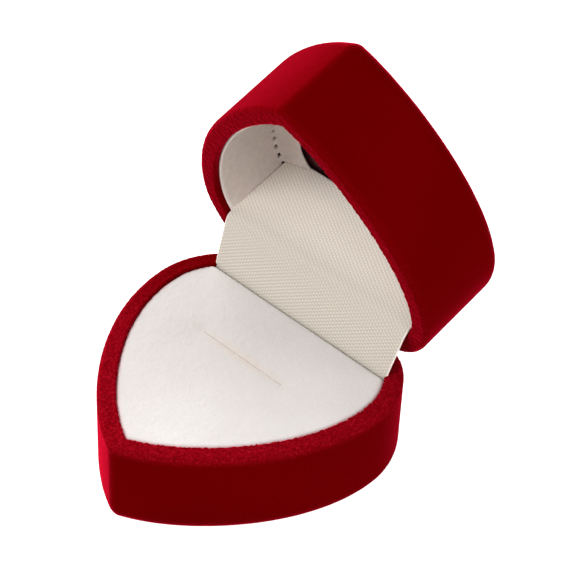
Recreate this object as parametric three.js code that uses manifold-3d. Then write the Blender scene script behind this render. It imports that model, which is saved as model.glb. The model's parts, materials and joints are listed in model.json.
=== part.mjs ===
import * as THREE from 'three';
import Module from 'manifold-3d';

// Heart-shaped ring box with a hinged lid, in millimetres, +Z up.
// The origin is on the underside of the base, where the heart is widest.
// The heart's tip points to -Y and its two lobes, with the hinge between them, to +Y.

const wasm = await Module();
wasm.setup();

// --- driving dimensions -------------------------------------------------------------------------

// Clearance between fixed pieces, and how far a cutting block reaches beyond what it cuts.
const GAP = 0.1;
const BEYOND = 1;
const FAR = 40;

// Outline of both shells.
const HALF_WIDTH = 24;
const TIP_REACH = 33.85;
const TIP_RADIUS = 2.2;
const TIP_SLOPE = THREE.MathUtils.degToRad(23.6);
const LOBE_X = 13.9;
const LOBE_BACK = 13.1;
const CLEFT_BACK = 10.6;
const FLANK_PULL = { tip: 10.1, side: 13.8 };
const SHOULDER_PULL = { side: 5.7, lobe: 3.7 };
const SADDLE_PULL = { lobe: 5.5, cleft: 4.5 };
const POINTS = { tip: 3, flank: 12, shoulder: 9, saddle: 6 };
const HUB_Y = -5;

// Shells.
const BASE_HEIGHT = 16.45;
const LID_HEIGHT = 18.3;
const WALL = { base: 2.9, lid: 3.15 };
const FLOOR = 2.2;
const BASE_FILLET = 3.3;
const LID_FILLET = 3.1;
const RIM_RADIUS = 0.9;
const LIP_RADIUS = 0.4;
const CAVITY_FILLET = 0.8;
const PARTING_GAP = 0.05;

// Hinge: leaves and pin are steel, the leaves' knuckles lie in a notch between the lobes.
const AXIS_Y = 12.6;
const AXIS_ABOVE_RIM = 0.2;
const AXIS_Z = BASE_HEIGHT + AXIS_ABOVE_RIM;
const LID_RIM = PARTING_GAP - AXIS_ABOVE_RIM;
const OPEN_ANGLE = THREE.MathUtils.degToRad(75);
const KNUCKLE_RADIUS = 1.05;
const PIN_RADIUS = 0.5;
const PIN_HEAD = { radius: 0.8, thick: 0.2 };
const RUNNING_GAP = 0.05;
const BARREL_HALF = 7;
const CENTRE_KNUCKLE_HALF = 2.4;
const KNUCKLE_GAP = 0.3;
const LEAF_THICK = 0.5;
const LEAF_Y = 8.3;
const LEAF_HALF = 8.5;
const LEAF_HEIGHT = 7.6;
const FLANGE_OFF_AXIS = 0.4;
const CAM_FLAT = { depth: 0.12, half: 0.7 };
const NOTCH_GAP = 0.4;
const POCKET_GAP = 0.3;
const SPRING = { thick: 0.25, half: 1.9, y: 7.95, foot: 6.4, rise: 1.15, tongueEnd: 0.4 };
const RIVET = { x: 6, drop: 4.6, shank: 0.6, hole: 0.7, head: 1.15, headThick: 0.35, length: 1.6 };
const SPRING_RIVET = { drop: 5.2, length: 0.9 };

// Ring pad, let into the base.
const PAD_INSET = 3;
const PAD_TOP = BASE_HEIGHT - 0.4;
const PAD_BACK = 6.9;
const PAD_EDGE = 0.65;
const COVER_THICK = 0.6;
const PAD_CARD = { bottom: 2.4, top: 3.2 };
const SLIT = { half: 8.5, y: -5.5, width: 0.4, depth: 9 };

// Lid lining: a folded card around the wall, and a cloth-covered card across the hinge.
const LINER = { outer: 3.25, inner: 3.65, flange: 8, fold: 13.6, drop: 1.2, thick: 0.4, start: 0.6, end: 7.9 };
const CLOTH = { thick: 0.3, lidY: 4.45, baseY: 7.25, lidEnd: 15.4, tailEnd: 8 };
const CLOTH_HALF = { tail: 18.3, rim: 18.8, bend: 19.4, lid: 19.1 };
const CLOTH_CARD = { y: 4.85, thick: 0.5, half: 18.6, start: 0.8, end: 15.6 };

// --- solids -------------------------------------------------------------------------------------

// A closed solid from a list of triangles, each three points. Coincident points become one vertex.
function solidFromTriangles(triangles) {
  const places = new Map();
  const coordinates = [];
  const indices = [];
  const vertex = (point) => {
    const key = point.toArray().map((value) => Math.round(value * 1e5)).join();
    if (!places.has(key)) {
      places.set(key, places.size);
      coordinates.push(point.x, point.y, point.z);
    }
    return places.get(key);
  };
  for (const [a, b, c] of triangles) {
    const [i, j, k] = [vertex(a), vertex(b), vertex(c)];
    if (i !== j && j !== k && k !== i) indices.push(i, j, k);
  }
  return new wasm.Manifold(new wasm.Mesh({
    numProp: 3,
    vertProperties: new Float32Array(coordinates),
    triVerts: new Uint32Array(indices),
  }));
}

// A solid from any closed three.js geometry.
function solid(geometry) {
  const flat = geometry.index ? geometry.toNonIndexed() : geometry;
  const position = flat.attributes.position;
  const triangles = [];
  for (let i = 0; i < position.count; i += 3) {
    triangles.push([0, 1, 2].map((k) => new THREE.Vector3().fromBufferAttribute(position, i + k)));
  }
  return solidFromTriangles(triangles);
}

function toGeometry(body) {
  const mesh = body.getMesh();
  const geometry = new THREE.BufferGeometry();
  geometry.setAttribute('position', new THREE.BufferAttribute(new Float32Array(mesh.vertProperties), 3));
  geometry.setIndex(new THREE.BufferAttribute(new Uint32Array(mesh.triVerts), 1));
  geometry.computeVertexNormals();
  return geometry;
}

// A box between two corners.
function block(low, high) {
  const size = high.map((value, i) => value - low[i]);
  const middle = high.map((value, i) => (value + low[i]) / 2);
  return solid(new THREE.BoxGeometry(...size).translate(...middle));
}

// A round bar about the x axis, from x = low to x = high.
function barX(radius, low, high, y, z, sides = 20) {
  const bar = new THREE.CylinderGeometry(radius, radius, high - low, sides);
  bar.rotateZ(Math.PI / 2).translate((low + high) / 2, y, z);
  return solid(bar);
}

// A round bar about the y axis, from y = low to y = high.
function barY(radius, low, high, x, z, sides = 16) {
  const bar = new THREE.CylinderGeometry(radius, radius, high - low, sides);
  return solid(bar.translate(x, (low + high) / 2, z));
}

// --- heart outline ------------------------------------------------------------------------------

function curveBetween(from, fromDirection, fromPull, to, toDirection, toPull) {
  const first = from.clone().addScaledVector(fromDirection, fromPull);
  const second = to.clone().addScaledVector(toDirection, -toPull);
  return new THREE.CubicBezierCurve(from, first, second, to);
}

// The right half of the heart, tip to cleft, a tip radius inside the outline, each place with its
// outward normal. The outline itself and every inset of it are this line moved along the normals.
function halfCore() {
  const core = (x, y) => new THREE.Vector2(x, y - Math.sign(y) * TIP_RADIUS);
  const tip = core(0, -TIP_REACH);
  const side = new THREE.Vector2(HALF_WIDTH - TIP_RADIUS, 0);
  const lobe = core(LOBE_X, LOBE_BACK);
  const cleft = core(0, CLEFT_BACK);
  const alongFlank = new THREE.Vector2(Math.cos(TIP_SLOPE), Math.sin(TIP_SLOPE));
  const back = new THREE.Vector2(0, 1);
  const inward = new THREE.Vector2(-1, 0);
  const curves = [
    [curveBetween(tip, alongFlank, FLANK_PULL.tip, side, back, FLANK_PULL.side), POINTS.flank],
    [curveBetween(side, back, SHOULDER_PULL.side, lobe, inward, SHOULDER_PULL.lobe), POINTS.shoulder],
    [curveBetween(lobe, inward, SADDLE_PULL.lobe, cleft, inward, SADDLE_PULL.cleft), POINTS.saddle],
  ];
  const places = [];
  for (let i = 0; i < POINTS.tip; i += 1) {
    const angle = -Math.PI / 2 + (TIP_SLOPE * i) / POINTS.tip;
    places.push({ at: tip, normal: new THREE.Vector2(Math.cos(angle), Math.sin(angle)) });
  }
  for (const [curve, steps] of curves) {
    const first = places.length > POINTS.tip ? 1 : 0;
    for (let i = first; i <= steps; i += 1) {
      const tangent = curve.getTangent(i / steps);
      places.push({ at: curve.getPoint(i / steps), normal: new THREE.Vector2(tangent.y, -tangent.x) });
    }
  }
  return places;
}

const HALF_CORE = halfCore();

// The whole outline at an inset and a height, counter-clockwise from the tip. Where an inset's two
// flanks would cross at the tip, the places beyond the crossing all move to it.
function ring(inset, z) {
  const half = HALF_CORE.map(({ at, normal }) => at.clone().addScaledVector(normal, TIP_RADIUS - inset));
  if (inset > TIP_RADIUS) {
    const next = half.findIndex((point, i) => i > POINTS.tip && point.x > 0);
    const [a, b] = [half[next - 1], half[next]];
    const crossing = a.clone().lerp(b, -a.x / (b.x - a.x));
    for (let i = 0; i < next; i += 1) half[i].copy(crossing);
  }
  half[0].x = 0;
  half.at(-1).x = 0;
  const left = half.slice(1, -1).reverse().map((point) => new THREE.Vector2(-point.x, point.y));
  return [...half, ...left].map((point) => new THREE.Vector3(point.x, point.y, z));
}

// A solid through a list of rings, capped at both ends, or closed on itself where loop is true.
function loft(rings, loop = false) {
  const triangles = [];
  const bands = loop ? rings.length : rings.length - 1;
  for (let r = 0; r < bands; r += 1) {
    const lower = rings[r];
    const upper = rings[(r + 1) % rings.length];
    lower.forEach((point, i) => {
      const n = (i + 1) % lower.length;
      triangles.push([point, lower[n], upper[n]], [point, upper[n], upper[i]]);
    });
  }
  if (!loop) {
    const [bottom, top] = [rings[0], rings.at(-1)];
    bottom.forEach((point, i) => {
      const n = (i + 1) % bottom.length;
      triangles.push([new THREE.Vector3(0, HUB_Y, bottom[0].z), bottom[n], point]);
      triangles.push([new THREE.Vector3(0, HUB_Y, top[0].z), top[i], top[n]]);
    });
  }
  return solidFromTriangles(triangles);
}

// The places [inset, z] along a quarter circle. It starts at angle `from` and turns by `turn`.
function quarter(inset, z, radius, from, turn, steps) {
  const places = [];
  for (let i = 0; i <= steps; i += 1) {
    const angle = from + (turn * i) / steps;
    places.push([inset + radius * Math.cos(angle), z + radius * Math.sin(angle)]);
  }
  return places;
}

// An open heart-shaped cup that stands on its floor: outside, over the rim, and down the inside.
function cup(height, outerFillet, wall) {
  const right = Math.PI / 2;
  const outside = quarter(outerFillet, outerFillet, outerFillet, -right, -right, 4);
  const rim = quarter(RIM_RADIUS, height - RIM_RADIUS, RIM_RADIUS, 2 * right, -right, 3);
  const lip = quarter(wall - LIP_RADIUS, height - LIP_RADIUS, LIP_RADIUS, right, -right, 2);
  const inside = [[wall, FLOOR + CAVITY_FILLET], [wall + CAVITY_FILLET, FLOOR]];
  return loft([...outside, ...rim, ...lip, ...inside].map(([inset, z]) => ring(inset, z)));
}

// Turns a cup over about the parting plane: the lid is a cup with its rim down.
function upsideDown(body) {
  return body.scale([1, 1, -1]);
}

// --- base parts (rest on the table, do not move) ------------------------------------------------

// The rim notch, leaf pocket and blind rivet holes of one shell, in hinge coordinates: y and z from
// the hinge axis, with side -1 for the base, which lies below the axis, and +1 for the lid.
function hingeCutouts(side) {
  const span = (low, high) => (side > 0 ? [low, high] : [-high, -low]);
  const box = (half, y0, y1, z0, z1) => {
    const [low, high] = span(z0, z1);
    return block([-half, y0 - AXIS_Y, low], [half, y1 - AXIS_Y, high]);
  };
  const leafBack = LEAF_Y + LEAF_THICK;
  const notchHalf = BARREL_HALF + NOTCH_GAP;
  const notchDepth = KNUCKLE_RADIUS + (side > 0 ? NOTCH_GAP : SPRING.thick + NOTCH_GAP);
  const notch = box(notchHalf, LEAF_Y - BEYOND, LOBE_BACK + BEYOND, -BEYOND, notchDepth);
  const pocketDepth = FLANGE_OFF_AXIS + LEAF_HEIGHT + POCKET_GAP;
  const pocket = box(LEAF_HALF + POCKET_GAP, LEAF_Y - 2 * BEYOND, leafBack + GAP, -BEYOND, pocketDepth);
  let cut = notch.add(pocket);
  const holes = [[-RIVET.x, RIVET.drop, RIVET.length], [RIVET.x, RIVET.drop, RIVET.length]];
  if (side < 0) holes.push([0, SPRING_RIVET.drop, SPRING_RIVET.length]);
  for (const [x, drop, length] of holes) {
    const end = leafBack + length + GAP;
    cut = cut.add(barY(RIVET.hole, LEAF_Y - AXIS_Y, end - AXIS_Y, x, side * drop));
  }
  return cut;
}

function baseShell() {
  const cut = hingeCutouts(-1).translate([0, AXIS_Y, AXIS_Z]);
  return cup(BASE_HEIGHT, BASE_FILLET, WALL.base).subtract(cut);
}

// One hinge leaf in hinge coordinates: an upright plate against the back wall, a flange over the
// rim, and its knuckles, each given as [low x, high x].
function hingeLeaf(side, knuckles, holes) {
  const upright = (z0, z1) => (side > 0 ? [z0, z1] : [-z1, -z0]);
  const [low, high] = upright(FLANGE_OFF_AXIS, FLANGE_OFF_AXIS + LEAF_HEIGHT);
  const plateY = LEAF_Y - AXIS_Y;
  let leaf = block([-LEAF_HALF, plateY, low], [LEAF_HALF, plateY + LEAF_THICK, high]);
  const [flangeLow, flangeHigh] = upright(FLANGE_OFF_AXIS, FLANGE_OFF_AXIS + LEAF_THICK);
  for (const [x0, x1] of knuckles) {
    leaf = leaf.add(block([x0, plateY, flangeLow], [x1, -PIN_RADIUS, flangeHigh]));
    leaf = leaf.add(barX(KNUCKLE_RADIUS, x0, x1, 0, 0));
  }
  const reach = BARREL_HALF + BEYOND;
  leaf = leaf.subtract(barX(PIN_RADIUS + RUNNING_GAP, -reach, reach, 0, 0));
  for (const [x, drop] of holes) {
    const bore = barY(RIVET.hole, plateY - BEYOND, plateY + LEAF_THICK + BEYOND, x, side * drop);
    leaf = leaf.subtract(bore);
  }
  return leaf;
}

// The base's leaf has a window at the top of its middle, where the spring's tongue passes through.
function baseHingeLeaf() {
  const inner = CENTRE_KNUCKLE_HALF + KNUCKLE_GAP;
  const knuckles = [[-BARREL_HALF, -inner], [inner, BARREL_HALF]];
  const holes = [[-RIVET.x, RIVET.drop], [RIVET.x, RIVET.drop], [0, SPRING_RIVET.drop]];
  const half = SPRING.half + POCKET_GAP;
  const sill = -SPRING.rise - SPRING.thick - POCKET_GAP;
  const front = LEAF_Y - AXIS_Y;
  const window = block([-half, front - BEYOND, sill], [half, front + BEYOND, 0]);
  return hingeLeaf(-1, knuckles, holes).subtract(window);
}

// The lid's knuckle has two cam flats: the snap spring lies on one when the lid is shut and on the
// other when it is open.
function lidHingeLeaf() {
  const knuckle = [-CENTRE_KNUCKLE_HALF, CENTRE_KNUCKLE_HALF];
  let leaf = hingeLeaf(1, [knuckle], [[-RIVET.x, RIVET.drop], [RIVET.x, RIVET.drop]]);
  const half = CENTRE_KNUCKLE_HALF + BEYOND;
  const face = -KNUCKLE_RADIUS + CAM_FLAT.depth;
  for (const angle of [0, OPEN_ANGLE]) {
    const flat = block([-half, -CAM_FLAT.half, face - BEYOND], [half, CAM_FLAT.half, face]);
    leaf = leaf.subtract(flat.rotate([THREE.MathUtils.radToDeg(angle), 0, 0]));
  }
  return leaf;
}

// The pin has a low peened head outside each end knuckle.
function hingePin() {
  const low = BARREL_HALF + GAP;
  const high = low + PIN_HEAD.thick;
  const shaft = barX(PIN_RADIUS, -high, high, 0, 0);
  return shaft.add(barX(PIN_HEAD.radius, -high, -low, 0, 0)).add(barX(PIN_HEAD.radius, low, high, 0, 0));
}

// A rivet along +Y: a domed head in front of the plate and a shank into the wall behind it.
function rivet(plateFront, length) {
  const { shank, head, headThick } = RIVET;
  const headBack = plateFront - GAP;
  const end = LEAF_Y + LEAF_THICK + length;
  const profile = [
    [0, headBack - headThick], [head * 0.6, headBack - headThick * 0.85], [head * 0.95, headBack - headThick * 0.4],
    [head, headBack], [shank, headBack], [shank, end - 0.15], [shank - 0.15, end], [0, end],
  ].map(([r, y]) => new THREE.Vector2(r, y));
  return solid(new THREE.LatheGeometry(profile, 16)).translate([0, -AXIS_Y, 0]);
}

// A flat spring, bent over at the top: its free end lies under the lid's knuckle.
function snapSpring() {
  const { thick, half, y, foot, rise, tongueEnd } = SPRING;
  const front = y - AXIS_Y;
  const upright = block([-half, front, -foot], [half, front + thick, -rise]);
  const tongue = block([-half, front, -rise - thick], [half, tongueEnd, -rise]);
  const hole = barY(RIVET.hole, front - BEYOND, front + BEYOND, 0, -SPRING_RIVET.drop);
  return upright.add(tongue).subtract(hole);
}

// --- ring pad -----------------------------------------------------------------------------------

function slitCut() {
  const { half, y, width, depth } = SLIT;
  return block([-half, y - width / 2, PAD_TOP - depth], [half, y + width / 2, PAD_TOP + BEYOND]);
}

// A heart-shaped block with a rounded top edge, cut off straight at the back.
function padBlock(inset, bottom, top, edge, back) {
  const round = quarter(inset + edge, top - edge, edge, Math.PI, -Math.PI / 2, 3);
  const rings = [[inset, bottom], ...round].map(([i, z]) => ring(i, z));
  return loft(rings).subtract(block([-FAR, back, bottom - BEYOND], [FAR, FAR, top + BEYOND]));
}

function padFoam() {
  const inset = PAD_INSET + COVER_THICK + GAP;
  const top = PAD_TOP - COVER_THICK - GAP;
  const foam = padBlock(inset, PAD_CARD.top + GAP, top, PAD_EDGE - COVER_THICK, PAD_BACK - COVER_THICK - GAP);
  return foam.subtract(slitCut());
}

function padCover() {
  const bottom = PAD_CARD.bottom + COVER_THICK;
  const inset = PAD_INSET + COVER_THICK;
  const outer = padBlock(PAD_INSET, bottom, PAD_TOP, PAD_EDGE, PAD_BACK);
  const top = PAD_TOP - COVER_THICK;
  const inner = padBlock(inset, bottom - BEYOND, top, PAD_EDGE - COVER_THICK, PAD_BACK - COVER_THICK);
  return outer.subtract(inner).subtract(slitCut());
}

function padCard() {
  const inset = PAD_INSET + COVER_THICK + GAP;
  const { bottom, top } = PAD_CARD;
  return loft([ring(inset, bottom), ring(inset, top)])
    .subtract(block([-FAR, PAD_BACK - COVER_THICK - GAP, 0], [FAR, FAR, top + BEYOND]));
}

// --- lid parts, in hinge coordinates with the lid shut ------------------------------------------

// From the row's y and a height above the lid's rim to hinge coordinates.
function fromRim(body) {
  return body.translate([0, -AXIS_Y, LID_RIM]);
}

function lidShell() {
  const shell = upsideDown(cup(LID_HEIGHT, LID_FILLET, WALL.lid)).translate([0, 0, LID_HEIGHT]);
  return fromRim(shell).subtract(hingeCutouts(1));
}

// The lining card runs around the wall and folds in under the lid's top as a sloping flange. It is
// open at the back, where its two ends and the flange stop at the cloth-covered card.
function lidLiner() {
  const { outer, inner, flange, fold, drop, thick, start, end } = LINER;
  const profile = [
    [outer, start], [outer, fold + thick], [flange, fold + drop + thick],
    [flange, fold + drop], [inner, fold], [inner, start],
  ];
  const band = loft(profile.map(([inset, z]) => ring(inset, z)), true);
  const flangeBack = CLOTH.lidY - CLOTH.thick;
  const card = band
    .subtract(block([-FAR, end, 0], [FAR, FAR, FAR]))
    .subtract(block([-LOBE_X, 0, 0], [LOBE_X, FAR, FAR]))
    .subtract(block([-FAR, flangeBack, fold - POCKET_GAP], [FAR, FAR, FAR]));
  return fromRim(card);
}

function clothCard() {
  const { y, thick, half, start, end } = CLOTH_CARD;
  return fromRim(block([-half, y, start], [half, y + thick, end]));
}

// --- hinge cloth, crossing from the base to the open lid ----------------------------------------

// Where a point of the shut lid, given as y and height above the lid's rim, is in the open lid.
function openLid(y, aboveRim) {
  const point = new THREE.Vector2(y - AXIS_Y, aboveRim + LID_RIM);
  return point.rotateAround(new THREE.Vector2(), -OPEN_ANGLE).add(new THREE.Vector2(AXIS_Y, AXIS_Z));
}

// A strip of cloth: its middle line seen from the side, with half its width at each place.
function hingeCloth() {
  const { thick, lidY, baseY, lidEnd, tailEnd } = CLOTH;
  const { tail, rim, bend, lid: inLid } = CLOTH_HALF;
  const line = [
    [new THREE.Vector2(baseY, tailEnd), tail],
    [new THREE.Vector2(baseY, PAD_TOP - 0.4), tail],
    [new THREE.Vector2(baseY + 0.3, PAD_TOP + 0.8), rim],
    [openLid(lidY, 0.3), bend],
    [openLid(lidY, 2), inLid],
    [openLid(lidY, lidEnd), inLid],
  ];
  const sections = line.map(([at, halfWidth], i) => {
    const before = line[Math.max(i - 1, 0)][0];
    const after = line[Math.min(i + 1, line.length - 1)][0];
    const across = after.clone().sub(before).normalize().rotateAround(new THREE.Vector2(), Math.PI / 2);
    const front = at.clone().addScaledVector(across, thick / 2);
    const rear = at.clone().addScaledVector(across, -thick / 2);
    return [
      new THREE.Vector3(-halfWidth, front.x, front.y), new THREE.Vector3(halfWidth, front.x, front.y),
      new THREE.Vector3(halfWidth, rear.x, rear.y), new THREE.Vector3(-halfWidth, rear.x, rear.y),
    ];
  });
  const triangles = [];
  const quad = (a, b, c, d) => triangles.push([a, b, c], [a, c, d]);
  for (let s = 0; s + 1 < sections.length; s += 1) {
    for (let i = 0; i < 4; i += 1) {
      const n = (i + 1) % 4;
      quad(sections[s][i], sections[s][n], sections[s + 1][n], sections[s + 1][i]);
    }
  }
  quad(...sections[0].toReversed());
  quad(...sections.at(-1));
  return solidFromTriangles(triangles);
}

// --- assembly -----------------------------------------------------------------------------------

const finish = (color, roughness, metalness = 0) => new THREE.MeshStandardMaterial({ color, roughness, metalness });
const RED_FLOCK = finish(0x7d0512, 0.95);
const WHITE_FLOCK = finish(0xe0d6cd, 0.95);
const FOAM = finish(0xe8e2d8, 0.9);
const CARD = finish(0xc9c3bd, 0.8);
const GREY_CARD = finish(0xa99a93, 0.75);
const TWILL = finish(0xd4cac2, 0.9);
const STEEL = finish(0xb9b4ac, 0.35, 0.9);

function part(parent, name, body, material) {
  const mesh = new THREE.Mesh(toGeometry(body), material);
  mesh.name = name;
  parent.add(mesh);
  return mesh;
}

const group = new THREE.Group();

const fixedHinge = new THREE.Group();
fixedHinge.position.set(0, AXIS_Y, AXIS_Z);
group.add(fixedHinge);

const lid = new THREE.Group();
lid.position.copy(fixedHinge.position);
lid.rotation.x = -OPEN_ANGLE;
group.add(lid);

part(group, 'base_shell', baseShell(), RED_FLOCK);
part(group, 'pad_card', padCard(), CARD);
part(group, 'ring_pad_foam', padFoam(), FOAM);
part(group, 'ring_pad_cover', padCover(), WHITE_FLOCK);
part(group, 'hinge_cloth', hingeCloth(), TWILL);

part(fixedHinge, 'base_hinge_leaf', baseHingeLeaf(), STEEL);
part(fixedHinge, 'hinge_pin', hingePin(), STEEL);
part(fixedHinge, 'snap_spring', snapSpring(), STEEL);
part(fixedHinge, 'spring_rivet', rivet(SPRING.y, SPRING_RIVET.length), STEEL).position.z = -SPRING_RIVET.drop;

part(lid, 'lid_shell', lidShell(), RED_FLOCK);
part(lid, 'lid_liner', lidLiner(), GREY_CARD);
part(lid, 'hinge_cloth_card', clothCard(), CARD);
part(lid, 'lid_hinge_leaf', lidHingeLeaf(), STEEL);

for (const [side, x] of [['left', -RIVET.x], ['right', RIVET.x]]) {
  part(fixedHinge, `base_rivet_${side}`, rivet(LEAF_Y, RIVET.length), STEEL).position.set(x, 0, -RIVET.drop);
  part(lid, `lid_rivet_${side}`, rivet(LEAF_Y, RIVET.length), STEEL).position.set(x, 0, RIVET.drop);
}

export default group;
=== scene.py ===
import itertools
import json
import math

import bmesh
import bpy
import numpy as np
from mathutils import Matrix, Vector


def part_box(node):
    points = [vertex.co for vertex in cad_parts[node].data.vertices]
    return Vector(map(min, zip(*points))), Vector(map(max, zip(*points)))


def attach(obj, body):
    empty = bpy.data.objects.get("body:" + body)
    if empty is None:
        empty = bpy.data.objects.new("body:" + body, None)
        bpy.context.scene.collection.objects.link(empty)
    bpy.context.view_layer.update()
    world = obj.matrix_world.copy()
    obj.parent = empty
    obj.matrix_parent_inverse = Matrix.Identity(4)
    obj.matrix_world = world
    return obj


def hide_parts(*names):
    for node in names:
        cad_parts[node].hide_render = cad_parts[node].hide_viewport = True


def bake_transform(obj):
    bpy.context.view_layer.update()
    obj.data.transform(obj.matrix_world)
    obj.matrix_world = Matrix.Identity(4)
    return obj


# A heart-shaped ring box, standing open. Lengths are in millimetres until a mesh is made; the lid's
# pieces are drawn shut, with z above the lid's rim, and then turned open about the hinge.

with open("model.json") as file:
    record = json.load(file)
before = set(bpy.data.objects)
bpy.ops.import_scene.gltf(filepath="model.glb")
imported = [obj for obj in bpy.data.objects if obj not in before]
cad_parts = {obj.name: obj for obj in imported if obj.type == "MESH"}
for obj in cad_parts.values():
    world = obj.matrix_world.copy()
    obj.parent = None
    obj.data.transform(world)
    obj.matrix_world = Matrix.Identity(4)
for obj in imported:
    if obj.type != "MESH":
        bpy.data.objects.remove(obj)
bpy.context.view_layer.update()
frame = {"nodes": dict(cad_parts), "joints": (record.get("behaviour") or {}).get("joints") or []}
bpy.context.scene.view_settings.view_transform = "Standard"

# --- driving dimensions --------------------------------------------------------------------------

MM = 0.001
HINGE = frame["joints"][0]
OPEN_ANGLE = math.radians(-HINGE["range_deg"][0])
AXIS_Y, AXIS_Z = (value / MM for value in HINGE["pos_m"][1:])
SHELL_LOW, SHELL_HIGH = (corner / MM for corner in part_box("base_shell"))
BASE_HEIGHT = SHELL_HIGH.z
PARTING_GAP = 0.05
LID_RIM_OFF_AXIS = BASE_HEIGHT + PARTING_GAP - AXIS_Z
LID_HEIGHT = 18.3

# Outline of both shells: three curves on each side, each with the pull of its two ends and its steps.
HALF_WIDTH = SHELL_HIGH.x
TIP_REACH = -SHELL_LOW.y
LOBE_BACK = SHELL_HIGH.y
TIP_RADIUS = 2.2
TIP_SLOPE = math.radians(23.6)
TIP_STEPS = 8
LOBE_X = 13.9
CLEFT_BACK = 10.6
FLANK = (10.1, 13.8, 198)
SHOULDER = (5.7, 3.7, 108)
SADDLE = (5.5, 4.5, 72)
HUB = (0, -5)

# Shells.
BASE_WALL = 2.9
LID_WALL = 3.15
FLOOR = 2.2
BASE_FILLET = 3.3
LID_FILLET = 3.1
RIM_RADIUS = 0.9
LIP_RADIUS = 0.4
NAP_END = 1.4
RIM_FADE = 1.3
CAVITY_FILLET = 0.8
BASE_FRAY = 0.16
LID_FRAY = 0.05

# Room for the hinge: a notch in each rim for the knuckles, and a pocket in each wall for the leaf.
NOTCH_HALF = 7.4
NOTCH_FRONT = 7.3
BASE_NOTCH_DEPTH = 1.7
LID_NOTCH_DEPTH = 1.45
POCKET_HALF = 8.8
POCKET_FRONT = 6.3
POCKET_BACK = 8.9
POCKET_DEPTH = 8.3
BEYOND = 1

# Threads of the cloth.
WARP_PITCH = 0.515
WEFT_PITCH = 0.31

# Pad.
PAD_BOTTOM = 3.0
PAD_TOP = BASE_HEIGHT - 0.3
PAD_INSET = 2.96
PAD_EDGE = 0.15
PAD_BACK = 7.0
PAD_SWELL = 0.18
PAD_VOXEL = 0.44
STRAY_WIDTH = 0.9
SLIT_Y = -5.5
SLIT_HALF = 8.5
SLIT_WIDTH = 0.04
SLIT_DEPTH = 6
# Painted shade on the pad: where it is deepest, and how far it reaches.
PAD_SHADE_PLACE = (-7, -2)
PAD_SHADE_REACH = 26

# The cloth simulation runs at a large scale.
SIM_SCALE = 25
SIM_PRESSURE = 4
SIM_STEPS = 20

# Lining of the lid.
LINER_OUTER = 3.25
LINER_INNER = 3.65
LINER_START = 1.2
LINER_END = 7.8
FLANGE_EDGE = 8.0
FLANGE_DROP = 1.2
FOLD = 13.6
SLOT_HALF_SIZE = (0.4, 1.2, 0.25)
SLOT_INSET = 3.5
SLOT_PITCH = 2.0
FIRST_SLOT = 3
LAST_SLOT_Y = 3.8

# Hinge cloth. Its widths are those at its four corners, from its tail up.
CLOTH_Y = 7.25
CLOTH_LID_Y = 4.45
CLOTH_TAIL_Z = 8.0
CLOTH_BEND_Z = 0.2
CLOTH_END_Z = 15.4
CLOTH_HALF_WIDTHS = (18.3, 18.75, 19.5, 19.15)
CLOTH_THICK = 0.3
CLOTH_STEP = 0.25
CLOTH_SMOOTHING = 36
CLOTH_COLUMNS = 119
# The painted highlight along the cloth's cut edges starts this far across, as a share of its half width.
CLOTH_EDGE = 0.993

# Camera: its angles are in degrees, and its aim is off the box's axis along the view's own right and up.
CAMERA_AZIMUTH = 41.77
CAMERA_ELEVATION = 41.96
CAMERA_ROLL = 2.75
CAMERA_DISTANCE = 349.66
CAMERA_LENS = 141.5
AIM_Z = BASE_HEIGHT + 10
AIM_RIGHT = 2.68
AIM_UP = 1.0

# Lights, with places and sizes in metres and power in watts.
SKY = 0.34
LIGHTS = [
    ("key", (-0.1, -0.57, 0.5), 0.35, 3.6),
    ("right", (0.65, -0.3, 0.35), 0.5, 3.4),
    ("back_right", (0.55, 0.35, 0.15), 0.4, 2.2),
    ("left", (-1.8, -0.36, 0.45), 1.5, 33.0),
    ("back_left", (-1.8, 0.75, 0.6), 1.5, 66.0),
]


# --- meshes --------------------------------------------------------------------------------------


def link(name, mesh):
    piece = bpy.data.objects.new(name, mesh)
    bpy.context.scene.collection.objects.link(piece)
    return piece


def mesh_object(name, points, faces, looks=(), face_looks=None, smooth=True):
    """A piece from points in millimetres. looks names its materials, and face_looks says which of them
    each face has. Points in one place become one, and its faces point out."""
    mesh = bpy.data.meshes.new(name)
    mesh.from_pydata((np.asarray(points, float) * MM).tolist(), [], faces)
    for look in looks:
        mesh.materials.append(MATERIALS[look])
    if face_looks is not None:
        mesh.polygons.foreach_set("material_index", face_looks)
    edit = bmesh.new()
    edit.from_mesh(mesh)
    bmesh.ops.remove_doubles(edit, verts=edit.verts, dist=1e-7)
    bmesh.ops.dissolve_degenerate(edit, edges=edit.edges, dist=1e-8)
    bmesh.ops.recalc_face_normals(edit, faces=edit.faces)
    edit.to_mesh(mesh)
    edit.free()
    if smooth:
        mesh.shade_smooth()
    return link(name, mesh)


def open_lid(points):
    """Points of the shut lid, with z above its rim, where they are in the open lid."""
    x, y, z = np.asarray(points, float).T
    y = y - AXIS_Y
    z = z + LID_RIM_OFF_AXIS
    cos, sin = math.cos(OPEN_ANGLE), math.sin(OPEN_ANGLE)
    return np.column_stack([x, AXIS_Y + y * cos + z * sin, AXIS_Z - y * sin + z * cos])


def coordinates(piece):
    flat = np.empty(len(piece.data.vertices) * 3)
    piece.data.vertices.foreach_get("co", flat)
    return flat.reshape(-1, 3) / MM


def normals(piece):
    flat = np.empty(len(piece.data.vertices) * 3)
    piece.data.vertices.foreach_get("normal", flat)
    return flat.reshape(-1, 3)


def move_to(piece, points):
    piece.data.vertices.foreach_set("co", (np.asarray(points) * MM).ravel())
    piece.data.update()


def apply_modifiers(piece):
    graph = bpy.context.evaluated_depsgraph_get()
    mesh = bpy.data.meshes.new_from_object(piece.evaluated_get(graph))
    piece.modifiers.clear()
    piece.data = mesh


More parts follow.
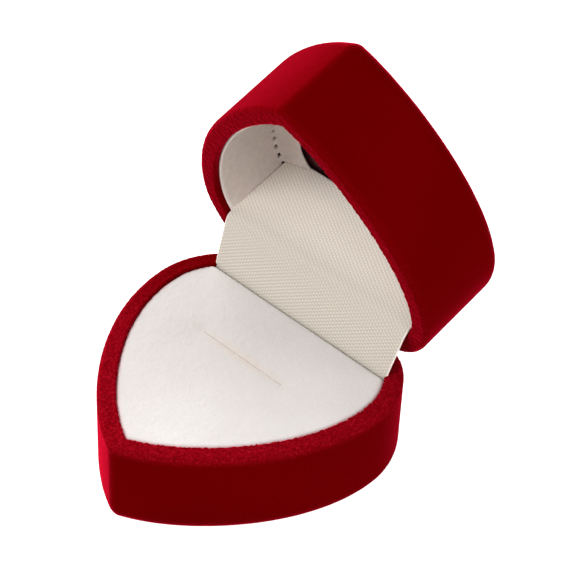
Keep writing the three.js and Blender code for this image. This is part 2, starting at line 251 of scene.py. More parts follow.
def cut(piece, cutter):
    """Cuts one closed mesh by another, which is then removed."""
    boolean = piece.modifiers.new("cut", "BOOLEAN")
    boolean.operation = "DIFFERENCE"
    boolean.solver = "MANIFOLD"
    boolean.object = cutter
    apply_modifiers(piece)
    bpy.data.objects.remove(cutter)


def box_points(low, high):
    corners = list(itertools.product(*zip(low, high)))
    faces = [(0, 1, 3, 2), (4, 6, 7, 5), (0, 4, 5, 1), (2, 3, 7, 6), (0, 2, 6, 4), (1, 5, 7, 3)]
    return corners, faces


def box(low, high):
    return mesh_object("box", *box_points(low, high), smooth=False)


class Grain:
    """Smooth random numbers from -1 to 1 through space, about size millimetres from hill to hill."""

    def __init__(self, size, seed):
        self.size = size
        self.values = np.random.default_rng(seed).uniform(-1, 1, (32, 32, 32))

    def __call__(self, points):
        at = np.asarray(points) / self.size
        whole = np.floor(at).astype(int)
        part = at - whole
        part = part * part * (3 - 2 * part)
        total = 0
        for corner in np.ndindex(2, 2, 2):
            i, j, k = ((whole + corner) % 32).T
            weight = np.prod(np.where(corner, part, 1 - part), axis=1)
            total = total + weight * self.values[i, j, k]
        return total


# --- heart outline -------------------------------------------------------------------------------


def bezier(a, b, c, d, steps):
    t = np.linspace(0, 1, steps + 1)[:, None]
    return (1 - t) ** 3 * a + 3 * (1 - t) ** 2 * t * b + 3 * (1 - t) * t**2 * c + t**3 * d


def half_core():
    """The right half of the heart, tip to cleft, a tip radius inside the outline, and its normals."""
    tip = np.array([0, TIP_RADIUS - TIP_REACH])
    side = np.array([HALF_WIDTH - TIP_RADIUS, 0])
    lobe = np.array([LOBE_X, LOBE_BACK - TIP_RADIUS])
    cleft = np.array([0, CLEFT_BACK - TIP_RADIUS])
    flank = np.array([math.cos(TIP_SLOPE), math.sin(TIP_SLOPE)])
    back, inward = np.array([0, 1]), np.array([-1, 0])
    legs = [
        (tip, flank, side, back, FLANK),
        (side, back, lobe, inward, SHOULDER),
        (lobe, inward, cleft, inward, SADDLE),
    ]
    curves = []
    for start, leaving, end, arriving, (first_pull, last_pull, steps) in legs:
        curve = bezier(start, start + first_pull * leaving, end - last_pull * arriving, end, steps)
        curves.append(curve[1:] if curves else curve)
    core = np.vstack(curves)
    tangents = np.gradient(core, axis=0)
    tangents[0], tangents[-1] = flank, inward
    tangents /= np.linalg.norm(tangents, axis=1)[:, None]
    outward = np.column_stack([tangents[:, 1], -tangents[:, 0]])
    angles = -math.pi / 2 + TIP_SLOPE * np.linspace(0, 1, TIP_STEPS)[:-1]
    fan = np.column_stack([np.cos(angles), np.sin(angles)])
    return np.vstack([np.repeat([tip], len(fan), 0), core]), np.vstack([fan, outward])


CORE, OUTWARD = half_core()


def half_ring(inset):
    """The right half of the outline at an inset. Past a crossing at the tip, points stay on it."""
    half = CORE + OUTWARD * (TIP_RADIUS - inset)
    if inset > TIP_RADIUS:
        after = int(np.argmax((half[:, 0] > 0) & (np.arange(len(half)) > TIP_STEPS)))
        a, b = half[after - 1], half[after]
        half[:after] = a + (b - a) * (-a[0] / (b[0] - a[0]))
    half[0, 0] = half[-1, 0] = 0
    return half


def ring(inset, z):
    half = half_ring(inset)
    whole = np.vstack([half, (half * [-1, 1])[-2:0:-1]])
    return np.column_stack([whole, np.full(len(whole), z)])


def loft_faces(rings, count, closed_round=True):
    faces = []
    for r in range(rings - 1):
        for i in range(count if closed_round else count - 1):
            n = (i + 1) % count
            faces.append((r * count + i, r * count + n, (r + 1) * count + n, (r + 1) * count + i))
    return faces


def heart_solid(name, profile, looks, lined_from=None, place=lambda points: points):
    """A closed solid through heart rings, given as [inset, z], with flat ends. The bands from row
    lined_from on, and the second end, have the second of its two materials."""
    rings = [ring(inset, z) for inset, z in profile]
    count = len(rings[0])
    points = np.vstack([*rings, [[*HUB, profile[0][1]], [*HUB, profile[-1][1]]]])
    faces = loft_faces(len(rings), count)
    low, high = len(points) - 2, len(points) - 1
    last = (len(rings) - 1) * count
    for i in range(count):
        n = (i + 1) % count
        faces.append((low, n, i))
        faces.append((high, last + i, last + n))
    face_looks = np.zeros(len(faces), np.int32)
    if lined_from is not None:
        face_looks[lined_from * count : last] = 1
        face_looks[last + 1 :: 2] = 1
    return mesh_object(name, place(points), faces, looks, face_looks)


def quarter(inset, z, radius, start, turn, steps):
    angles = start + turn * np.linspace(0, 1, steps + 1)
    return [[inset + radius * math.cos(a), z + radius * math.sin(a)] for a in angles]


def upright(inset, low, high, step):
    """Places up or down a wall, without its two ends."""
    count = max(2, round(abs(high - low) / step))
    return [[inset, z] for z in np.linspace(low, high, count + 1)[1:-1]]


# --- materials -----------------------------------------------------------------------------------


class Nodes:
    """Builds a material's node tree: each call adds a node and sets or links its inputs by name."""

    def __init__(self, name):
        self.material = bpy.data.materials.new(name)
        self.material.use_nodes = True
        self.tree = self.material.node_tree
        self.shader = self.tree.nodes["Principled BSDF"]

    def add(self, kind, settings=None, **inputs):
        node = self.tree.nodes.new(kind)
        for key, value in (settings or {}).items():
            setattr(node, key, value)
        self.set(node, **inputs)
        return node

    def set(self, node, **inputs):
        for key, value in inputs.items():
            socket = node.inputs[int(key[1:]) if key[1:].isdigit() else key.replace("_", " ")]
            if isinstance(value, bpy.types.NodeSocket):
                self.tree.links.new(value, socket)
            else:
                socket.default_value = value
        return node

    def place(self):
        return self.add("ShaderNodeTexCoord").outputs["Object"]

    def noise(self, scale, detail=2.0, roughness=0.5, vector=None):
        node = self.add("ShaderNodeTexNoise", Scale=scale, Detail=detail, Roughness=roughness)
        self.tree.links.new(vector or self.place(), node.inputs["Vector"])
        return node.outputs["Fac"]

    def ramp(self, value, stops):
        node = self.add("ShaderNodeValToRGB", Fac=value)
        elements = node.color_ramp.elements
        while len(elements) < len(stops):
            elements.new(0.5)
        for element, (position, color) in zip(elements, stops):
            element.position = position
            element.color = (*color, 1)
        return node.outputs["Color"]

    def math(self, operation, a, b=0.0):
        return self.add("ShaderNodeMath", {"operation": operation}, _0=a, _1=b).outputs[0]

    def mix(self, factor, a, b, blend_type="MIX"):
        settings = {"data_type": "RGBA", "blend_type": blend_type}
        return self.add("ShaderNodeMix", settings, _0=factor, _6=a, _7=b).outputs[2]

    def remap(self, value, low, high, at_low=0.0, at_high=1.0):
        """Goes evenly from at_low to at_high as the value goes from low to high, and stays there."""
        node = self.add("ShaderNodeMapRange", Value=value, From_Min=low, From_Max=high)
        self.set(node, To_Min=at_low, To_Max=at_high)
        return node.outputs["Result"]

    def away_from(self, place, reach):
        """The distance from a place, where each axis counts in units of its own reach, in millimetres."""
        location = tuple(value * MM for value in place)
        scale = tuple(value * MM for value in reach)
        settings = {"vector_type": "TEXTURE"}
        node = self.add("ShaderNodeMapping", settings, Vector=self.place(), Location=location, Scale=scale)
        length = self.add("ShaderNodeVectorMath", {"operation": "LENGTH"}, _0=node.outputs["Vector"])
        return length.outputs["Value"]

    def bump(self, height, distance, strength=1.0):
        node = self.add("ShaderNodeBump", Height=height, Distance=distance, Strength=strength)
        self.set(self.shader, Normal=node.outputs["Normal"])


def linear(*screen_color):
    """Red, green and blue from 0 to 255 on a screen, as the linear numbers that a shader takes."""
    parts = [value / 255 for value in screen_color]
    return tuple(((c + 0.055) / 1.055) ** 2.4 if c > 10 / 255 else c / 12.92 for c in parts)


def red_flock():
    """Deep red pile: dark seen straight on, bright at a grazing angle, more ragged on the rim, with a few
    specks of lint. The rim is also painted lighter, a painted sheen for its rounded pile, by each shell's
    own numbers."""
    nodes = Nodes("red_flock")
    wall = nodes.ramp(nodes.noise(55, 3), [(0.3, linear(84, 0, 0)), (0.7, linear(90, 0, 0))])
    ragged = nodes.noise(2600, 3, 0.7)
    # painted sheen: the rim's lighter reds stand in for light glancing off its rounded pile; the ragged
    # noise is the pile's own
    painted_rim_sheen_colors = [(0.35, linear(96, 1, 8)), (0.55, linear(120, 3, 14)), (0.75, linear(156, 20, 34))]
    rim = nodes.ramp(ragged, painted_rim_sheen_colors)
    near = nodes.add("ShaderNodeAttribute", {"attribute_name": "painted_rim_sheen"}).outputs["Fac"]
    pile = nodes.mix(near, wall, rim)
    cells = nodes.add("ShaderNodeTexVoronoi", Vector=nodes.place(), Scale=180)
    shade = nodes.add("ShaderNodeSeparateColor", Color=cells.outputs["Color"])
    chosen = nodes.math("GREATER_THAN", shade.outputs[0], 0.82)
    small = nodes.math("LESS_THAN", cells.outputs["Distance"], 0.022)
    lint = nodes.math("MULTIPLY", chosen, small)
    nodes.set(
        nodes.shader,
        Base_Color=nodes.mix(lint, pile, (*linear(205, 130, 135), 1)),
        Roughness=1.0,
        Specular_IOR_Level=0.0,
        Sheen_Weight=1.0,
        Sheen_Roughness=0.32,
        Sheen_Tint=(1.0, 0.01, 0.05, 1),
    )
    nodes.bump(ragged, 0.00012, 0.6)
    return nodes.material


def bare_plastic():
    """The moulded shell inside, below the flock."""
    nodes = Nodes("bare_plastic")
    color = nodes.ramp(nodes.noise(300, 3), [(0.3, linear(44, 8, 12)), (0.7, linear(56, 12, 16))])
    nodes.set(nodes.shader, Base_Color=color, Roughness=0.55, Specular_IOR_Level=0.4)
    nodes.bump(nodes.noise(1500, 2), 0.00003, 0.3)
    return nodes.material


def white_flock():
    """White pile with red strays along its edge. Painted shade greys it most just left of its middle, and
    painted shade along the slit's crease makes it beige there.
    """
    nodes = Nodes("white_flock")
    soil = nodes.noise(45, 3)
    fibres = nodes.noise(2400, 3, 0.7)
    pile = nodes.ramp(soil, [(0.35, linear(192, 187, 184)), (0.7, linear(202, 198, 196))])
    dark = nodes.ramp(fibres, [(0.3, (0.93, 0.92, 0.91)), (0.6, (1.02, 1.02, 1.02))])
    clean = nodes.mix(0.7, pile, dark, "MULTIPLY")
    # painted shade: grey, deepest just left of the pad's middle and gone 26 mm away
    painted_shade = nodes.remap(nodes.away_from((*PAD_SHADE_PLACE, PAD_TOP), [PAD_SHADE_REACH] * 3), 0.0, 1.0, 0.62, 0.0)
    grey = nodes.mix(painted_shade, clean, (*linear(176, 171, 168), 1))
    # painted shade along the slit's crease, in beige
    off_slit = nodes.away_from((0, SLIT_Y, PAD_TOP), (1.2 * SLIT_HALF, 1.1, 8))
    painted_slit_shade = nodes.remap(off_slit, 0.3, 1.5, 0.6, 0.0)
    beige = nodes.mix(painted_slit_shade, grey, (*linear(190, 177, 167), 1))
    edge = nodes.add("ShaderNodeAttribute", {"attribute_name": "stray_red"}).outputs["Fac"]
    patchy = nodes.math("MULTIPLY", fibres, 1.5)
    stray = nodes.math("MULTIPLY", nodes.math("POWER", edge, 2.0), patchy)
    nodes.set(
        nodes.shader,
        Base_Color=nodes.mix(stray, beige, (*linear(190, 92, 104), 1)),
        Roughness=0.95,
        Specular_IOR_Level=0.05,
        Sheen_Weight=0.2,
        Sheen_Roughness=0.5,
    )
    nodes.bump(nodes.noise(2200, 2, 0.6), 0.0001, 0.5)
    return nodes.material


def card(name, light, dark):
    nodes = Nodes(name)
    pulp = nodes.noise(900, 4, 0.65)
    color = nodes.ramp(pulp, [(0.3, linear(*dark)), (0.7, linear(*light))])
    nodes.set(nodes.shader, Base_Color=color, Roughness=0.8, Specular_IOR_Level=0.2)
    nodes.bump(nodes.noise(1600, 3), 0.00003, 0.4)
    return nodes.material


def foam():
    nodes = Nodes("foam")
    cells = nodes.add("ShaderNodeTexVoronoi", Vector=nodes.place(), Scale=1800).outputs["Distance"]
    color = nodes.ramp(cells, [(0.0, linear(190, 184, 170)), (0.6, linear(236, 231, 220))])
    nodes.set(nodes.shader, Base_Color=color, Roughness=0.95, Specular_IOR_Level=0.1)
    nodes.bump(cells, 0.0002, 0.7)
    return nodes.material


def steel():
    nodes = Nodes("steel")
    scratches = nodes.add("ShaderNodeMapping", Vector=nodes.place(), Scale=(80, 3000, 3000))
    lines = nodes.noise(1.0, 3, 0.6, scratches.outputs["Vector"])
    color = nodes.ramp(lines, [(0.3, (0.48, 0.46, 0.43)), (0.7, (0.62, 0.6, 0.57))])
    rough = nodes.remap(lines, 0.0, 1.0, 0.28, 0.45)
    nodes.set(nodes.shader, Base_Color=color, Metallic=1.0, Roughness=rough)
    nodes.bump(lines, 0.00002, 0.5)
    return nodes.material


def twill():
    """A cream cloth, woven in two sets of slanting ribs. Its UV map is in millimetres across and along
    it, so the threads are at size. In the lid one set of ribs stands out. Its colour carries painted
    light:
    lighter from the bend up into the lid, lighter still deeper in, and a painted shadow along its left
    side there."""
    nodes = Nodes("twill")
    flat = nodes.add("ShaderNodeUVMap").outputs["UV"]
    parts = nodes.add("ShaderNodeSeparateXYZ", Vector=flat)
    across, along = parts.outputs["X"], parts.outputs["Y"]
    x = nodes.math("MULTIPLY", across, math.pi / WARP_PITCH)
    y = nodes.math("MULTIPLY", along, math.pi / WEFT_PITCH)
    rising = nodes.math("SINE", nodes.math("SUBTRACT", x, y))
    falling = nodes.math("SINE", nodes.math("ADD", x, y))
    upright_ribs = nodes.math("MULTIPLY", nodes.math("SINE", nodes.math("MULTIPLY", x, 2.0)), 0.12)
    to_right = nodes.remap(across, -14.0, 10.0, 0.3, 1.0)
    low = nodes.math("ADD", rising, nodes.math("MULTIPLY", falling, to_right))
    faint = nodes.math("MULTIPLY", rising, 0.2)
    deep = nodes.math("ADD", faint, nodes.math("MULTIPLY", falling, 0.75))
    turned = nodes.remap(along, 12.5, 17.0)
    ribs = nodes.add("ShaderNodeMix", Factor=turned, A=low, B=deep).outputs["Result"]
    height = nodes.math("MULTIPLY_ADD", ribs, 0.24)
    nodes.set(height.node, _2=nodes.math("ADD", upright_ribs, 0.5))
    threads = nodes.noise(3.0, 3, 0.6, flat)
    cream = [(0.1, linear(178, 168, 156)), (0.5, linear(190, 181, 170)), (0.9, linear(208, 202, 193))]
    tint = nodes.ramp(threads, [(0.3, (0.94, 0.93, 0.91)), (0.7, (1.03, 1.03, 1.03))])
    # painted light: lighter from the bend on, up into the lid, against the shading there
    bend_light_stops = [(0.1, (0.86, 0.87, 0.87)), (0.58, (1.27, 1.29, 1.32)), (1.0, (1.38, 1.4, 1.44))]
    bend_light = nodes.ramp(nodes.remap(along, 16.0, 22.0), bend_light_stops)
    # painted light deeper in the lid, held back along the left side as a painted shadow
    painted_deep_light = nodes.math("MULTIPLY", nodes.remap(across, -17.0, -7.0), nodes.remap(along, 20.0, 27.0))
    painted_light = nodes.mix(painted_deep_light, bend_light, (1.7, 1.73, 1.78, 1))
    shade = nodes.mix(1.0, tint, painted_light, "MULTIPLY")
    nodes.set(
        nodes.shader,
        Base_Color=nodes.mix(1.0, nodes.ramp(height, cream), shade, "MULTIPLY"),
        Roughness=0.75,
        Specular_IOR_Level=0.25,
        Sheen_Weight=0.15,
        Sheen_Roughness=0.4,
    )
    nodes.bump(height, 0.00005, 0.6)
    return nodes.material


MATERIALS = {
    "red_flock": red_flock(),
    "bare_plastic": bare_plastic(),
    "white_flock": white_flock(),
    "liner_card": card("liner_card", (200, 188, 180), (188, 175, 167)),
    # Light cut edges: the lining card's own paper core, and on the cloth a painted highlight.
    "core_and_edge_highlight": card("core_and_edge_highlight", (232, 221, 214), (220, 206, 198)),
    "card": card("card", (205, 199, 192), (186, 179, 171)),
    "foam": foam(),
    "twill": twill(),
    "steel": steel(),
}


def dress(piece, slot, body=None, stands_for=()):
    """Gives a piece its slot, says what it rides on, and hides the CAD nodes that it stands for. Only a
    piece that stands for one keeps the materials it has."""
    if not stands_for or not piece.data.materials:
        piece.data.materials.clear()
        piece.data.materials.append(MATERIALS[slot])
    if body:
        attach(piece, body)
    if stands_for:
        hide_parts(*stands_for)
    return piece


# --- shells --------------------------------------------------------------------------------------


def cup(name, height, fillet, wall, place=lambda points: points):
    """A heart-shaped cup that stands on its floor: flocked outside, over its rim and a little way down
    the inside, and bare plastic below that."""
    right = math.pi / 2
    flocked = [
        *quarter(fillet, fillet, fillet, -right, -right, 10),
        *upright(0, fillet, height - RIM_RADIUS, 0.35),
        *quarter(RIM_RADIUS, height - RIM_RADIUS, RIM_RADIUS, 2 * right, -right, 8),
        *[[inset, height] for inset in np.linspace(RIM_RADIUS, wall - LIP_RADIUS, 10)[1:-1]],
        *quarter(wall - LIP_RADIUS, height - LIP_RADIUS, LIP_RADIUS, right, -right, 5),
        *upright(wall, height - LIP_RADIUS, height - NAP_END, 0.2),
        [wall, height - NAP_END],
    ]
    bare = [[wall, FLOOR + CAVITY_FILLET], [wall + CAVITY_FILLET, FLOOR]]
    looks = ("red_flock", "bare_plastic")
    return heart_solid(name, flocked + bare, looks, len(flocked) - 1, place)


def nap(piece, below_rim, fray):
    """Roughens a shell's surface as flock does, most of all on its rim, whose inner edge frays."""
    points = coordinates(piece)
    fine, coarse = Grain(0.27, 5)(points), Grain(1.1, 6)(points)
    rim = np.clip(1.3 - below_rim / 0.8, 0, 1)
    facing = normals(piece)
    depth = (0.006 + 0.07 * rim) * fine + 0.01 * coarse
    depth += rim * (0.04 - 0.1 * np.abs(facing[:, 2]))
    inward = np.array(HUB) - points[:, :2]
    inward /= np.linalg.norm(inward, axis=1)[:, None]
    lip = np.clip(np.sum(facing[:, :2] * inward, axis=1) * 2, 0, 1) * (below_rim < LIP_RADIUS + 0.1)
    depth += fray * lip * (0.7 + Grain(0.24, 8)(points))
    return points + facing * depth[:, None]


def mark(piece, name, values):
    """Keeps one number for each point of a piece, for its material."""
    layer = piece.data.attributes.new(name, "FLOAT", "POINT")
    layer.data.foreach_set("value", values.astype(np.float32))


# How much painted rim sheen a shell's point gets, from how far below its rim it is.
def painted_rim_sheen(below_rim):
    return np.clip(1.15 - below_rim / RIM_FADE, 0, 1)


def cut_for_hinge(shell, axis_z, notch_depth, side):
    """Cuts the notch and the pocket, below the hinge axis where side is -1 and above it where it is 1."""
    cutters = [
        (NOTCH_HALF, NOTCH_FRONT, LOBE_BACK + BEYOND, notch_depth),
        (POCKET_HALF, POCKET_FRONT, POCKET_BACK, POCKET_DEPTH),
    ]
    for half, near, far, depth in cutters:
        low, high = sorted((axis_z - side * BEYOND, axis_z + side * depth))
        cut(shell, box((-half, near, low), (half, far, high)))


def base_shell():
    shell = cup("base_shell_flocked", BASE_HEIGHT, BASE_FILLET, BASE_WALL)
    points = coordinates(shell)
    moved = nap(shell, BASE_HEIGHT - points[:, 2], BASE_FRAY)
    on_floor = points[:, 2] < 0.3
    moved[on_floor] = points[on_floor]
    moved[:, 2] = np.clip(moved[:, 2], 0, BASE_HEIGHT + PARTING_GAP / 3)
    move_to(shell, moved)
    cut_for_hinge(shell, AXIS_Z, BASE_NOTCH_DEPTH, -1)
    x, y, z = coordinates(shell).T
    # The painted rim sheen is weaker towards the back left of the base's rim.
    less_sheen_back_left = np.clip((y + 18) / 26, 0, 1) * np.clip((4 - x) / 16, 0, 1)
    mark(shell, "painted_rim_sheen", painted_rim_sheen(BASE_HEIGHT - z) * (1 - 0.9 * less_sheen_back_left))
    return dress(shell, "red_flock", "base", ["base_shell"])


def lid_shell():
    def upside_down(points):
        return np.asarray(points) * [1, 1, -1] + [0, 0, LID_HEIGHT]

    shell = cup("lid_shell_flocked", LID_HEIGHT, LID_FILLET, LID_WALL, upside_down)
    moved = nap(shell, coordinates(shell)[:, 2], LID_FRAY)
    moved[:, 2] = np.maximum(moved[:, 2], -PARTING_GAP / 3)
    move_to(shell, moved)
    cut_for_hinge(shell, -LID_RIM_OFF_AXIS, LID_NOTCH_DEPTH, 1)
    # The lid's rim gets a fifth of the full painted rim sheen.
    mark(shell, "painted_rim_sheen", painted_rim_sheen(coordinates(shell)[:, 2]) * 0.2)
    move_to(shell, open_lid(coordinates(shell)))
    return dress(shell, "red_flock", "lid", ["lid_shell"])


# --- ring pad ------------------------------------------------------------------------------------


def even_out(piece):
    """Rebuilds a closed mesh from small squares, at the large scale of the cloth simulation."""
    piece.data.transform(Matrix.Scale(SIM_SCALE, 4))
    remesh = piece.modifiers.new("remesh", "REMESH")
    remesh.mode = "VOXEL"
    remesh.voxel_size = PAD_VOXEL * MM * SIM_SCALE
    apply_modifiers(piece)


def swell(piece):
    """Lets a closed mesh swell as a stuffed cover does. It is large here, so that the solver's own
    distances are small beside it."""
    cloth = piece.modifiers.new("cloth", "CLOTH")
    cloth.settings.use_pressure = True
    cloth.settings.uniform_pressure_force = SIM_PRESSURE
    cloth.settings.effector_weights.gravity = 0
    cloth.point_cache.frame_end = SIM_STEPS
    scene = bpy.context.scene
    for step in range(1, SIM_STEPS + 1):
        scene.frame_set(step)
    apply_modifiers(piece)
    scene.frame_set(1)


def outline_distance(points, inset):
    """How far each point is, seen from above, from the outline at an inset."""
    outline = ring(inset, 0)[:, :2]
    nearest = []
    for part in np.array_split(points[:, None, :2], 60):
        nearest.append(np.linalg.norm(part - outline, axis=2).min(axis=1))
    return np.concatenate(nearest)


def ring_pad():
    profile = [
        *[[PAD_INSET, z] for z in np.linspace(PAD_BOTTOM, PAD_TOP - PAD_EDGE, 12)],
        *quarter(PAD_INSET + PAD_EDGE, PAD_TOP - PAD_EDGE, PAD_EDGE, math.pi, -math.pi / 2, 6)[1:],
    ]
    pad = heart_solid("ring_pad_flocked", profile, ("white_flock",))
    cut(pad, box((-40, PAD_BACK, 0), (40, 40, 40)))
    even_out(pad)
    before = coordinates(pad)
    lift = np.zeros(len(before))
    swell(pad)
    lift = np.clip((coordinates(pad) - before)[:, 2], 0, None)
    lift *= PAD_SWELL / lift.max()
    points = before / SIM_SCALE
    points[:, 2] += lift
    move_to(pad, points)
    pad.data.materials.clear()
    pad.data.materials.append(MATERIALS["white_flock"])
    pad.data.shade_smooth()
    soften = pad.modifiers.new("soften", "SUBSURF")
    soften.levels = soften.render_levels = 1
    apply_modifiers(pad)
    points = coordinates(pad)
    x, y, z = points.T
    on_top = np.clip((z - PAD_TOP + 1.5) / 1.2, 0, 1)
    beyond = np.maximum(np.abs(x) - SLIT_HALF, 0)
    furrow = np.exp(-(((y - SLIT_Y) / 0.9) ** 2) - (beyond / 1.5) ** 2)
    dent = np.exp(-(((y - SLIT_Y) / 4.0) ** 2) - (beyond / 4.0) ** 2)
    z -= on_top * (0.09 * furrow + 0.15 * dent)
    z += on_top * (0.05 * Grain(7, 11)(points) + 0.02 * Grain(0.7, 12)(points))
    move_to(pad, np.column_stack([x, y, z]))
    slit_low = (-SLIT_HALF, SLIT_Y - SLIT_WIDTH / 2, PAD_TOP - SLIT_DEPTH)
    slit_high = (SLIT_HALF, SLIT_Y + SLIT_WIDTH / 2, PAD_TOP + 2 * BEYOND)
    cut(pad, box(slit_low, slit_high))
    off_edge = outline_distance(coordinates(pad), PAD_INSET)
    mark(pad, "stray_red", np.clip(1 - off_edge / STRAY_WIDTH, 0, 1))
    return dress(pad, "white_flock", "base", ["ring_pad_cover"])


# --- lid lining ----------------------------------------------------------------------------------


def lid_liner():
    """The lining card: round the lid's wall from lobe to lobe, and folded in as a sloping flange."""
    thick = LINER_INNER - LINER_OUTER
    down = [(0, z) for z in np.linspace(LINER_START, FOLD, 20)]
    flange = [(run, FOLD + FLANGE_DROP * run) for run in np.linspace(0, 1, 12)[1:]]
    width = FLANGE_EDGE - LINER_INNER
    inside = [(LINER_INNER + run * width, z) for run, z in down + flange]
    outside = [(LINER_OUTER + run * (width + thick), z + thick * (z >= FOLD)) for run, z in down + flange]
    stop = int(np.argmax(half_ring(LINER_OUTER)[:, 1] > LINER_END)) + 1
    rows = []
    for inset, z in [*inside, *outside[::-1]]:
        half = half_ring(inset)[:stop]
        whole = np.vstack([(half * [-1, 1])[:0:-1], half])
        rows.append(np.column_stack([whole, np.full(len(whole), z)]))
    count = len(rows[0])
    faces = loft_faces(len(rows), count, closed_round=False)
    cut_edges = [0] * len(faces)
    turn = (len(inside) - 1) * (count - 1)
    cut_edges[turn : turn + count - 1] = [1] * (count - 1)
    last = (len(rows) - 1) * count
    for i in range(count - 1):
        faces.append((last + i, last + i + 1, i + 1, i))
    for r in range(len(inside) - 1):
        a, b = r * count, (r + 1) * count
        c, d = (len(rows) - 2 - r) * count, (len(rows) - 1 - r) * count
        faces.append((a, b, c, d))
        faces.append((d + count - 1, c + count - 1, b + count - 1, a + count - 1))
    cut_edges += [1] * (len(faces) - len(cut_edges))
    looks = ("liner_card", "core_and_edge_highlight")
    return mesh_object("lid_liner_card", np.vstack(rows), faces, looks, cut_edges)


def fold_slots():
    """Cutters for the short slots along the lining's fold, on both sides, up to the cloth."""
    half = half_ring(SLOT_INSET)
    steps = np.linalg.norm(np.diff(half, axis=0), axis=1)
    along = np.concatenate([[0], np.cumsum(steps)])
    up = np.array([0, 0, 1])
    high = np.array(SLOT_HALF_SIZE)
    corners, sides = box_points(-high, high)
    points, faces = [], []
    for place in np.arange(FIRST_SLOT, along[-1], SLOT_PITCH):
        x, y = (np.interp(place, along, half[:, k]) for k in (0, 1))
        ahead = [np.interp(place + 0.1, along, half[:, k]) for k in (0, 1)]
        if y > LAST_SLOT_Y:
            break
        way = np.array([ahead[0] - x, ahead[1] - y, 0])
        way /= np.linalg.norm(way)
        out = np.array([way[1], -way[0], 0])
        axes = np.array([way, 0.8 * out + 0.6 * up, 0.8 * up - 0.6 * out])
        for mirror in (1, -1):
            base = len(points)
            points.extend((np.array([x, y, FOLD]) + corners @ axes) * [mirror, 1, 1])
            faces.extend(tuple(base + i for i in side) for side in sides)
    looks = ("liner_card", "core_and_edge_highlight")
    return mesh_object("slots", points, faces, looks, [1] * len(faces), smooth=False)


def lining():
    liner = lid_liner()
    cut(liner, box((-40, CLOTH_LID_Y - 0.3, FOLD - 0.3), (40, 40, 30)))
    cut(liner, fold_slots())
    move_to(liner, open_lid(coordinates(liner)))
    return dress(liner, "liner_card", "lid", ["lid_liner"])


# --- hinge cloth ---------------------------------------------------------------------------------


def cloth_line():
    """The cloth's middle line from the side: up behind the pad, across to the lid, and into it."""
    bend = open_lid([[0, CLOTH_LID_Y, CLOTH_BEND_Z]])[0, 1:]
    end = open_lid([[0, CLOTH_LID_Y, CLOTH_END_Z]])[0, 1:]
    corners = np.array([[CLOTH_Y, CLOTH_TAIL_Z], [CLOTH_Y, PAD_TOP - 0.1], bend, end])
    widths = CLOTH_HALF_WIDTHS
    line, half_widths = [], []
    for a, b, wa, wb in zip(corners, corners[1:], widths, widths[1:]):
        steps = int(np.linalg.norm(b - a) / CLOTH_STEP)
        for i in range(steps):
            line.append(a + (b - a) * i / steps)
            half_widths.append(wa + (wb - wa) * i / steps)
    line.append(corners[-1])
    half_widths.append(widths[-1])
    line = np.array(line)
    for _ in range(CLOTH_SMOOTHING):
        line[1:-1] = (line[:-2] + 2 * line[1:-1] + line[2:]) / 4
    return line, np.array(half_widths)


def hinge_cloth():
    """The cloth, a thin closed sheet, with a painted highlight along its cut side edges."""
    line, half_widths = cloth_line()
    across = np.array([-1, *np.linspace(-CLOTH_EDGE, CLOTH_EDGE, CLOTH_COLUMNS), 1])
    steps = np.linalg.norm(np.diff(line, axis=0), axis=1)
    along = np.concatenate([[0], np.cumsum(steps)])
    tangent = np.gradient(line, axis=0)
    tangent /= np.linalg.norm(tangent, axis=1)[:, None]
    front = np.column_stack([-tangent[:, 1], tangent[:, 0]])
    rows, flat = [], []
    for side in (CLOTH_THICK / 2, -CLOTH_THICK / 2):
        for i, (at, half) in enumerate(zip(line, half_widths)):
            place = at + front[i] * side
            rows.append(np.column_stack([across * half, np.full((len(across), 2), place)]))
            flat.append(np.column_stack([across * half, np.full(len(across), along[i])]))
    points, flat = np.vstack(rows), np.vstack(flat)
    count, length = len(across), len(line)
    faces = []
    for sheet_start, turn in ((0, 1), (length, -1)):
        for r in range(sheet_start, sheet_start + length - 1):
            for i in range(count - 1):
                a, b = r * count + i, (r + 1) * count + i
                faces.append((a, a + 1, b + 1, b)[::turn])
    edge = [(r, 0) for r in range(length)]
    edge += [(length - 1, i) for i in range(1, count)]
    edge += [(r, count - 1) for r in range(length - 2, -1, -1)]
    edge += [(0, i) for i in range(count - 2, 0, -1)]
    for (r0, i0), (r1, i1) in zip(edge, edge[1:] + edge[:1]):
        a, b = r0 * count + i0, r1 * count + i1
        faces.append((a, b, b + length * count, a + length * count))
    mesh = bpy.data.meshes.new("hinge_cloth_twill")
    mesh.from_pydata((points * MM).tolist(), [], faces)
    layer = mesh.uv_layers.new(name="flat")
    index = np.empty(len(mesh.loops), int)
    mesh.loops.foreach_get("vertex_index", index)
    layer.data.foreach_set("uv", flat[index].ravel())
    mesh.shade_smooth()
    mesh.materials.append(MATERIALS["twill"])
    mesh.materials.append(MATERIALS["core_and_edge_highlight"])
    # The outermost strip on each side and the cut edges get the painted edge highlight.
    sheet_faces = len(faces) - len(edge)
    looks = np.ones(len(faces), np.int32)
    looks[:sheet_faces].reshape(-1, count - 1)[:, 1:-1] = 0
    mesh.polygons.foreach_set("material_index", looks)
    cloth = link("hinge_cloth_twill", mesh)
    dress(cloth, "twill", None, ["hinge_cloth"])
    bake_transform(cloth)
    return cloth


# --- camera, light and floor ---------------------------------------------------------------------


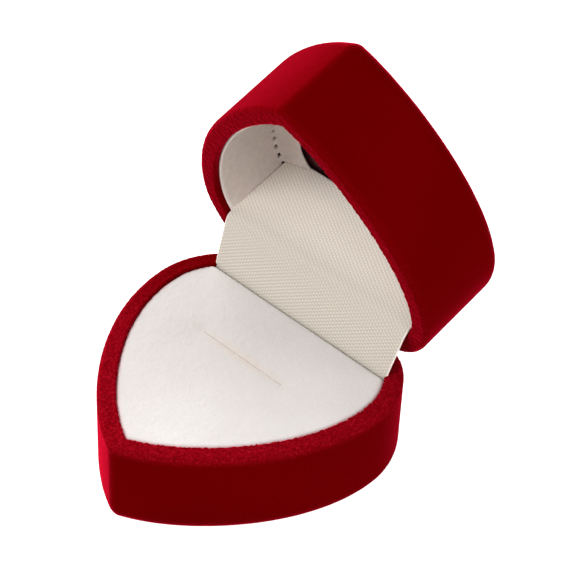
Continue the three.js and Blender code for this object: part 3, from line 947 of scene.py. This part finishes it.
def add_camera():
    azimuth, elevation, roll = map(math.radians, (CAMERA_AZIMUTH, CAMERA_ELEVATION, CAMERA_ROLL))
    outwards = Vector((math.sin(azimuth), -math.cos(azimuth), 0))
    back = outwards * math.cos(elevation) + Vector((0, 0, math.sin(elevation)))
    level = Vector((math.cos(azimuth), math.sin(azimuth), 0))
    rise = back.cross(level)
    right = level * math.cos(roll) + rise * math.sin(roll)
    up = rise * math.cos(roll) - level * math.sin(roll)
    aim = Vector((0, 0, AIM_Z)) + right * AIM_RIGHT + up * AIM_UP
    place = Matrix((right, up, back)).transposed().to_4x4()
    place.translation = (aim + back * CAMERA_DISTANCE) * MM
    data = bpy.data.cameras.new("camera")
    data.sensor_width = 36
    data.lens = CAMERA_LENS
    data.clip_start = 0.01
    camera = bpy.data.objects.new("camera", data)
    camera.matrix_world = place
    bpy.context.scene.collection.objects.link(camera)
    bpy.context.scene.camera = camera


def add_light(name, place, size, power):
    """A square soft light, aimed at the middle of the box."""
    data = bpy.data.lights.new(name, "AREA")
    data.size = size
    data.energy = power
    lamp = bpy.data.objects.new(name, data)
    lamp.location = place
    aim = Vector((0, 0, 0.03)) - Vector(place)
    lamp.rotation_mode = "QUATERNION"
    lamp.rotation_quaternion = aim.to_track_quat("-Z", "Y")
    bpy.context.scene.collection.objects.link(lamp)


def add_floor():
    """A floor that is white to the camera, as the background is, but pale grey to the light."""
    edit = bmesh.new()
    bmesh.ops.create_grid(edit, x_segments=1, y_segments=1, size=3)
    mesh = bpy.data.meshes.new("floor")
    edit.to_mesh(mesh)
    edit.free()
    floor = link("floor", mesh)
    nodes = Nodes("floor")
    seen = nodes.add("ShaderNodeLightPath").outputs["Is Camera Ray"]
    nodes.set(nodes.shader, Base_Color=(0.5, 0.5, 0.5, 1), Roughness=0.9, Specular_IOR_Level=0.1)
    nodes.set(nodes.shader, Emission_Color=(1, 1, 1, 1), Emission_Strength=seen)
    mesh.materials.append(nodes.material)


def add_sky(strength):
    world = bpy.data.worlds.new("sky")
    world.use_nodes = True
    world.node_tree.nodes["Background"].inputs["Color"].default_value = (1, 1, 1, 1)
    world.node_tree.nodes["Background"].inputs["Strength"].default_value = strength
    bpy.context.scene.world = world


add_camera()
add_floor()
add_sky(SKY)
for light in LIGHTS:
    add_light(*light)

# --- the box -------------------------------------------------------------------------------------

base_shell()
lid_shell()
ring_pad()
lining()
hinge_cloth()

CARRIED_OVER = {
    "card": ["pad_card", "hinge_cloth_card"],
    "foam": ["ring_pad_foam"],
    "steel": [
        "base_hinge_leaf",
        "lid_hinge_leaf",
        "hinge_pin",
        "snap_spring",
        "spring_rivet",
        "base_rivet_left",
        "base_rivet_right",
        "lid_rivet_left",
        "lid_rivet_right",
    ],
}
for slot_name, node_names in CARRIED_OVER.items():
    for node_name in node_names:
        dress(frame["nodes"][node_name], slot_name)
